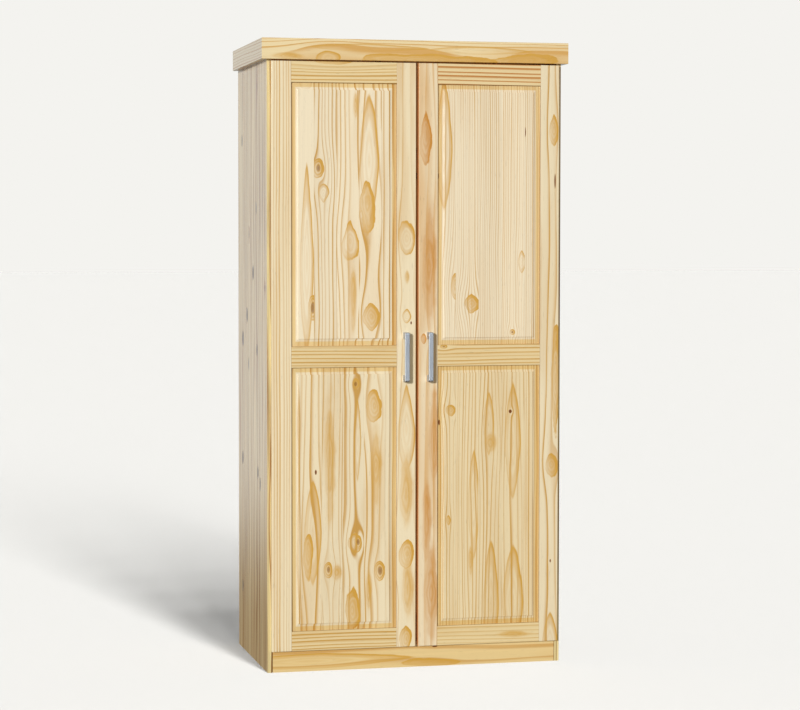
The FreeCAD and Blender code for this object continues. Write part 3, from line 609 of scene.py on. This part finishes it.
# ---------------------------------------------------------------- floor, light, camera
BACKDROP = linear(244, 243, 239)
FLOOR_SIZE = 160.0
FLOOR_TONE = 0.25               # the floor is dark paint under strong lamps of its own
AMBIENT = 0.29                  # soft light from all round, in units of a white surface
AMBIENT_TINT = (1.08, 0.97, 0.76)
KEY_AZIMUTH, KEY_ELEVATION = -33.0, 12.0
KEY_LIGHT = 0.80
KEY_TINT = (0.98, 1.0, 1.05)
GLOW_ELEVATION = 10.0
INSIDE_GLOW = 0.30              # light inside, on the back panels alone
INSIDE_TINT = (1.0, 0.62, 0.3)
LAMP_SPREAD, FLOOR_LAMP_SPREAD = 5.0, 4.0   # how wide a lamp looks, in degrees
FRONT_PANEL = (0.58, 0.66, 0.72, 1.0)   # wall behind the camera, as the lacquer mirrors it
BACK_PANEL = (0.76, 0.82, 0.84, 1.0)    # wall behind the wardrobe, likewise
LAMP_BANK = (5.0, 5.2, 5.2, 1.0)        # upright lamps at the left of the front, likewise
TURN = (-0.3, 0.3)              # y of the direction where one wall gives way to the other
FLOOR_LINE = (-0.165, -0.1)     # z of the direction where the dark floor ends
BANK_LEFT, BANK_RIGHT = (-1.1, -1.0), (-0.52, -0.42)    # x over -y of the direction
BANK_BOTTOM, BANK_TOP = (-0.1, 0.1), (0.6, 0.7)         # z of the direction
LAMP_COLUMNS = ((11.0, 0.5), (7.0, 0.35), (0.0, 0.15))  # azimuth, share
LAMP_ROWS = ((71.0, 0.23), (60.0, 0.19), (50.5, 0.17), (42.0, 0.13), (35.0, 0.10),
             (28.5, 0.07), (23.5, 0.06), (18.0, 0.05))   # elevation, share
LAMP_STAGGER = 2.5              # each column of floor lamps is this much lower
SHADED = 0.37                   # share of the floor's light left in the deepest shadow
CAMERA_PLACE = (-1.6775, -6.8116, 1.3066)   # all fitted to the photograph's outline
CAMERA_TILT, CAMERA_TURN = 87.6, -12.645
SENSOR, LENS = 36.0, 100.96
SHIFT_X, SHIFT_Y = 0.061, -0.0289


def add_floor():
    """Wide pale studio floor, left out of bounced light and reflections."""
    bpy.ops.mesh.primitive_plane_add(size=FLOOR_SIZE, location=(0.0, 0.0, 0.0))
    floor = bpy.context.object
    floor.name = "studio_floor"
    floor.visible_diffuse = False
    floor.visible_glossy = False
    material, tree, shader = new_material("studio_floor")
    shader.inputs["Base Color"].default_value = tuple(
        FLOOR_TONE * channel / BACKDROP[1] for channel in BACKDROP[:3]) + (1.0,)
    shader.inputs["Roughness"].default_value = 1.0
    shader.inputs["Specular IOR Level"].default_value = 0.0
    floor.data.materials.append(material)
    return floor


def add_sun(name, azimuth, elevation, light, spread, lit, shadow=True):
    """Distant soft lamp, azimuth degrees right of the front, lighting some objects."""
    lamp = bpy.data.lights.new(name, "SUN")
    lamp.energy = light * math.pi
    lamp.angle = math.radians(spread)
    lamp.use_shadow = shadow
    holder = bpy.data.objects.new(name, lamp)
    bpy.context.scene.collection.objects.link(holder)
    turn, lift = math.radians(azimuth), math.radians(elevation)
    towards = Vector((math.sin(turn) * math.cos(lift), -math.cos(turn) * math.cos(lift),
                      math.sin(lift)))
    holder.rotation_euler = towards.to_track_quat("Z", "Y").to_euler()
    holder.light_linking.receiver_collection = lit
    return lamp


def collection_of(name, objects):
    """Collection of the objects that a lamp lights."""
    made = bpy.data.collections.new(name)
    for item in objects:
        made.objects.link(item)
    return made


def mirrored_room(tree, way):
    """What the lacquer mirrors: white walls over a dark floor, and a bank of lamps."""
    x, y, z = split(way)
    walls = blend(tree, FRONT_PANEL, BACK_PANEL, y.step(*TURN))
    walls = shade(tree, walls, z.step(*FLOOR_LINE))
    side = x / (y * -1.0)
    wide = side.step(*BANK_LEFT) * side.step(*BANK_RIGHT).inverse()
    tall = z.step(*BANK_BOTTOM) * z.step(*BANK_TOP).inverse()
    in_front = y.step(-0.1, 0.1).inverse()
    return blend(tree, walls, LAMP_BANK, wide * in_front * tall)


def add_world():
    """Even backdrop, soft ambient light, and a room for the lacquer to mirror."""
    world = bpy.data.worlds.new("studio")
    bpy.context.scene.world = world
    world.use_nodes = True
    tree = world.node_tree
    path = tree.nodes.new("ShaderNodeLightPath")
    way = tree.nodes.new("ShaderNodeTexCoord").outputs["Generated"]
    room = mirrored_room(tree, Field(tree, way))
    soft = tuple(AMBIENT * channel for channel in AMBIENT_TINT) + (1.0,)
    light = blend(tree, soft, room, Field(tree, path.outputs["Is Glossy Ray"]))
    light = blend(tree, light, BACKDROP, Field(tree, path.outputs["Is Camera Ray"]))
    plug(tree, light, tree.nodes["Background"].inputs["Color"])


def add_floor_lamps(lit):
    """Columns of soft lamps that throw the wardrobe's shadow back and to the left."""
    full = BACKDROP[1] / FLOOR_TONE
    share = full * SHADED
    fill = add_sun("floor_fill", azimuth=0.0, elevation=90.0, light=share - AMBIENT,
                   spread=1.0, lit=lit, shadow=False)
    fill.color = [(share - AMBIENT * tone) / (share - AMBIENT) for tone in AMBIENT_TINT]
    for column, (azimuth, column_share) in enumerate(LAMP_COLUMNS):
        for elevation, row_share in LAMP_ROWS:
            height = elevation - column * LAMP_STAGGER
            light = full * (1.0 - SHADED) * column_share * row_share
            add_sun("floor_lamp", azimuth, height,
                    light / math.sin(math.radians(height)), FLOOR_LAMP_SPREAD, lit)


def add_wardrobe_lamps():
    """Key light on the wardrobe, and a weak warm one on the inside of its back."""
    key = add_sun("key", KEY_AZIMUTH, KEY_ELEVATION, KEY_LIGHT, LAMP_SPREAD,
                  collection_of("lit_wardrobe", NODES.values()))
    key.color = KEY_TINT
    backs = collection_of("lit_back", [NODES[name] for name in named("back_panel")])
    glow = add_sun("inside_glow", 0.0, GLOW_ELEVATION, INSIDE_GLOW, LAMP_SPREAD, backs,
                   shadow=False)
    glow.color = INSIDE_TINT


def add_camera():
    """Camera at the photograph's angle."""
    camera = bpy.data.objects.new("camera", bpy.data.cameras.new("camera"))
    bpy.context.scene.collection.objects.link(camera)
    camera.location = CAMERA_PLACE
    camera.rotation_euler = (math.radians(CAMERA_TILT), 0.0, math.radians(CAMERA_TURN))
    camera.data.sensor_width = SENSOR
    camera.data.lens = LENS
    camera.data.shift_x = SHIFT_X
    camera.data.shift_y = SHIFT_Y
    bpy.context.scene.camera = camera


floor = add_floor()
add_world()
add_floor_lamps(collection_of("lit_floor", [floor]))
add_wardrobe_lamps()
add_camera()
bpy.context.scene.view_settings.view_transform = "Standard"
